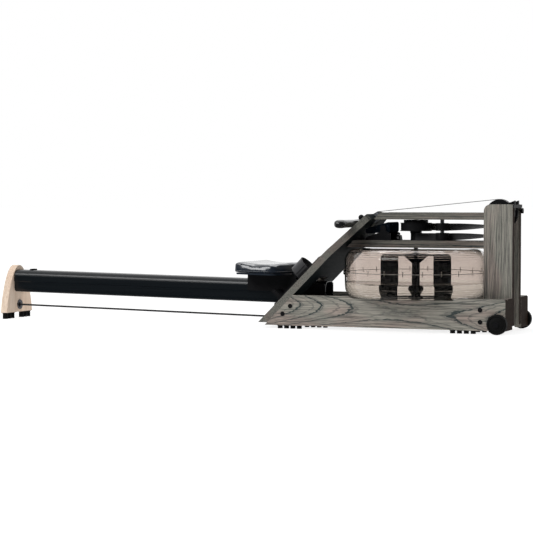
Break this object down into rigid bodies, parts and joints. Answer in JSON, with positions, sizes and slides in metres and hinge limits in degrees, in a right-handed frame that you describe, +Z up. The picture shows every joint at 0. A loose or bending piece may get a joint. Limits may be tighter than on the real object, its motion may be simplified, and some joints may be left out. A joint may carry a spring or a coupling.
{
  "type": "rowing machine",
  "caption": "Low rowing machine with a wooden frame, a water tank with a paddle, a single rail, a sliding seat, a slanted footboard and a pull strap.",
  "frame": {"origin": "on the floor, under the middle of the object's box", "axes": "+X along the rail towards the tank end, +Z up from the floor, +Y to the left of a rower who faces the tank"},
  "size_m": [2.146, 0.548, 0.4915],
  "materials": {
    "stained_ash": "grey stained ash, open grain, satin oil",
    "pale_ash": "pale ash, satin lacquer",
    "dark_wood": "dark brown stained wood",
    "pad_rubber": "moulded black rubber, matt",
    "rail_metal": "black anodised extrusion, glossy top",
    "black_steel": "black powder coat",
    "steel": "bright brushed steel",
    "bolt_black": "blackened steel, satin",
    "smoke_plastic": "clear tank plastic with a smoky tint",
    "blade_plastic": "black moulded plastic, glossy",
    "black_plastic": "black moulded plastic, fine texture",
    "webbing": "black woven webbing",
    "cord_sheath": "black braided cord sheath",
    "seat_cover": "dark navy coated seat cover, satin",
    "wheel_rubber": "hard black rubber wheel",
    "grip_foam": "smooth black grip, satin",
    "monitor_plastic": "dark glossy plastic"
  },
  "bodies": {
    "frame": {"rear_leg": "pale_ash", "rear_foot_pads": "pad_rubber", "cord_eyelet": "steel", "monorail": "rail_metal", "rail_cradle": "black_steel", "rail_stops": "pad_rubber", "base_beam_right": "stained_ash", "base_beam_left": "stained_ash", "cross_boards": "stained_ash", "outer_floor_pads": "pad_rubber", "inner_floor_pads": "pad_rubber", "front_blocks": "dark_wood", "post_right": "stained_ash", "post_left": "stained_ash", "top_rail_right": "stained_ash", "top_rail_left": "stained_ash", "mid_rail_right": "stained_ash", "mid_rail_left": "stained_ash", "footboard": "stained_ash", "frame_bolts": "bolt_black", "tank_lower_shell": "smoke_plastic", "tank_seal": "pad_rubber", "tank_upper_shell": "smoke_plastic", "flange_screws": "steel", "bearing_plates": "black_steel", "roller_spindle": "steel", "pulley_axles": "steel", "strap_guard": "black_plastic", "guard_knob": "black_plastic", "handle_strap": "webbing", "recoil_belt": "webbing", "bungee_cord": "cord_sheath", "handle_pegs": "black_plastic", "foot_plates": "black_plastic", "foot_straps": "webbing", "monitor_bracket": "black_steel"},
    "belt_clip": {"belt_clip": "steel"},
    "wheel_right": {"wheel_right": "wheel_rubber"},
    "wheel_left": {"wheel_left": "wheel_rubber"},
    "seat": {"seat_pad": "seat_cover", "seat_base": "black_plastic", "seat_carriage": "black_steel"},
    "front_rollers": {"front_seat_rollers": "black_plastic"},
    "rear_rollers": {"rear_seat_rollers": "black_plastic"},
    "handle": {"handle_bar": "grip_foam", "handle_strap_end": "webbing"},
    "paddle": {"paddle": "blade_plastic", "paddle_shaft": "steel"},
    "reel": {"strap_reel": "black_plastic"},
    "top_pulley": {"top_pulley": "black_plastic"},
    "lower_pulley": {"lower_pulley": "black_plastic"},
    "bottom_pulley": {"bottom_pulley": "black_plastic"},
    "strap_guide_roller": {"strap_guide_roller": "black_plastic"},
    "belt_guide_roller": {"belt_guide_roller": "black_plastic"},
    "board_roller": {"board_roller": "black_plastic"},
    "heel_rest_right": {"heel_rest_right": "black_plastic"},
    "heel_rest_left": {"heel_rest_left": "black_plastic"},
    "monitor": {"monitor_head": "monitor_plastic"},
    "monitor_button": {"monitor_button": "black_plastic"},
    "tank_plug": {"tank_plug": "black_plastic"}
  },
  "joints": [
    {"name": "seat_slide", "type": "slide", "parent": "frame", "child": "seat", "axis": [-0.9998, 0, 0.0175], "range_m": [0, 0.95]},
    {"name": "front_rollers_spin", "type": "hinge", "parent": "seat", "child": "front_rollers", "pos_m": [0.16512, 0, 0.18667], "axis": [0, 1, 0], "continuous": true},
    {"name": "rear_rollers_spin", "type": "hinge", "parent": "seat", "child": "rear_rollers", "pos_m": [0.04014, 0, 0.18885], "axis": [0, 1, 0], "continuous": true},
    {"name": "handle_pull", "type": "slide", "parent": "frame", "child": "handle", "axis": [-0.9903, 0, 0.1392], "range_m": [0, 1.05], "stiffness_N_per_m": 8, "springref_m": -0.5},
    {"name": "reel_spin", "type": "hinge", "parent": "frame", "child": "reel", "pos_m": [0.6715, 0, 0.3865], "axis": [0, 0, 1], "continuous": true},
    {"name": "strap_guide_spin", "type": "hinge", "parent": "frame", "child": "strap_guide_roller", "pos_m": [0.7825, -0.02555, 0.3865], "axis": [0, 0, 1], "continuous": true},
    {"name": "belt_guide_spin", "type": "hinge", "parent": "frame", "child": "belt_guide_roller", "pos_m": [0.7825, -0.02555, 0.35], "axis": [0, 0, 1], "continuous": true},
    {"name": "top_pulley_spin", "type": "hinge", "parent": "frame", "child": "top_pulley", "pos_m": [0.9965, 0, 0.441], "axis": [0, 1, 0], "continuous": true},
    {"name": "lower_pulley_spin", "type": "hinge", "parent": "frame", "child": "lower_pulley", "pos_m": [0.999, 0, 0.332], "axis": [0, 1, 0], "continuous": true},
    {"name": "bottom_pulley_spin", "type": "hinge", "parent": "frame", "child": "bottom_pulley", "pos_m": [0.999, 0, 0.063], "axis": [0, 1, 0], "continuous": true},
    {"name": "board_roller_spin", "type": "hinge", "parent": "frame", "child": "board_roller", "pos_m": [0.5265, 0, 0.433], "axis": [0, 1, 0], "continuous": true},
    {"name": "belt_clip_slide", "type": "slide", "parent": "frame", "child": "belt_clip", "axis": [1, 0, 0], "range_m": [0, 0.405]},
    {"name": "paddle_spin", "type": "hinge", "parent": "frame", "child": "paddle", "pos_m": [0.6715, 0, 0.2], "axis": [0, 0, 1], "continuous": true},
    {"name": "wheel_right_spin", "type": "hinge", "parent": "frame", "child": "wheel_right", "pos_m": [1.036, -0.183, 0.0375], "axis": [0, 1, 0], "continuous": true},
    {"name": "wheel_left_spin", "type": "hinge", "parent": "frame", "child": "wheel_left", "pos_m": [1.036, 0.183, 0.0375], "axis": [0, 1, 0], "continuous": true},
    {"name": "heel_rest_right_slide", "type": "slide", "parent": "frame", "child": "heel_rest_right", "axis": [0.7071, 0, 0.7071], "range_m": [-0.018, 0.036]},
    {"name": "heel_rest_left_slide", "type": "slide", "parent": "frame", "child": "heel_rest_left", "axis": [0.7071, 0, 0.7071], "range_m": [-0.018, 0.036]},
    {"name": "monitor_tilt", "type": "hinge", "parent": "frame", "child": "monitor", "pos_m": [0.56, 0, 0.384], "axis": [0, 1, 0], "range_deg": [-10, 2]},
    {"name": "monitor_button_press", "type": "slide", "parent": "monitor", "child": "monitor_button", "axis": [0.225, 0, -0.9744], "range_m": [0, 0.0015], "stiffness_N_per_m": 600, "springref_m": -0.001},
    {"name": "tank_plug_lift", "type": "slide", "parent": "frame", "child": "tank_plug", "axis": [0, 0, 1], "range_m": [0, 0.03]}
  ],
  "couplings": [
    {"joint": "front_rollers_spin", "follows": "seat_slide", "rad_per_m": -117.65},
    {"joint": "rear_rollers_spin", "follows": "seat_slide", "rad_per_m": -117.65},
    {"joint": "reel_spin", "follows": "handle_pull", "rad_per_m": -17.227},
    {"joint": "strap_guide_spin", "follows": "handle_pull", "rad_per_m": -39.139},
    {"joint": "belt_guide_spin", "follows": "handle_pull", "rad_per_m": 14.193},
    {"joint": "top_pulley_spin", "follows": "handle_pull", "rad_per_m": -19.98},
    {"joint": "lower_pulley_spin", "follows": "handle_pull", "rad_per_m": -15.732},
    {"joint": "bottom_pulley_spin", "follows": "handle_pull", "rad_per_m": -15.732},
    {"joint": "board_roller_spin", "follows": "handle_pull", "rad_per_m": -90.498},
    {"joint": "belt_clip_slide", "follows": "handle_pull", "ratio": 0.36262}
  ]
}
